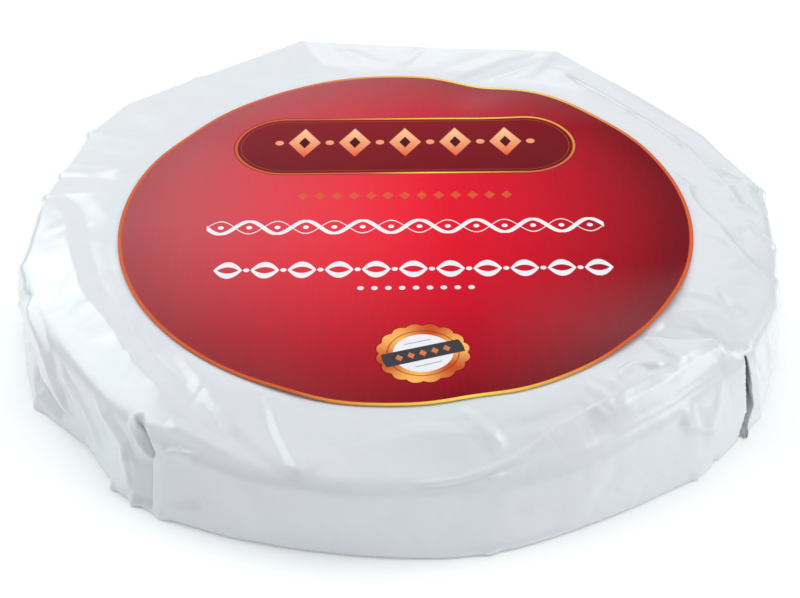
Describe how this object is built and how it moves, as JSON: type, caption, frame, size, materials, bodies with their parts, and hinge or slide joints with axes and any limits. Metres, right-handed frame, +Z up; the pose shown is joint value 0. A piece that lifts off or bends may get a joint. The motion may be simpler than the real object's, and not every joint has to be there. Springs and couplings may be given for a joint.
{
  "type": "wrapped brie wheel",
  "caption": "A small brie wheel shut in creased glossy white paper, with a round red label that has a gold rim, a plain cartouche, ornament lines and a scalloped seal.",
  "frame": {"origin": "the middle of the pack's outline, on the surface it rests on", "axes": "+Z up through the label, +X to the right of someone who reads the label, -Y towards them"},
  "size_m": [0.2428, 0.2487, 0.0309],
  "materials": {
    "glossy_paper": "glossy white film-coated wrapping paper, sharply creased",
    "printed_label": "glossy printed label, red with a gold rim"
  },
  "bodies": {
    "root": {"wrapper": "glossy_paper", "label": "printed_label"}
  },
  "joints": []
}
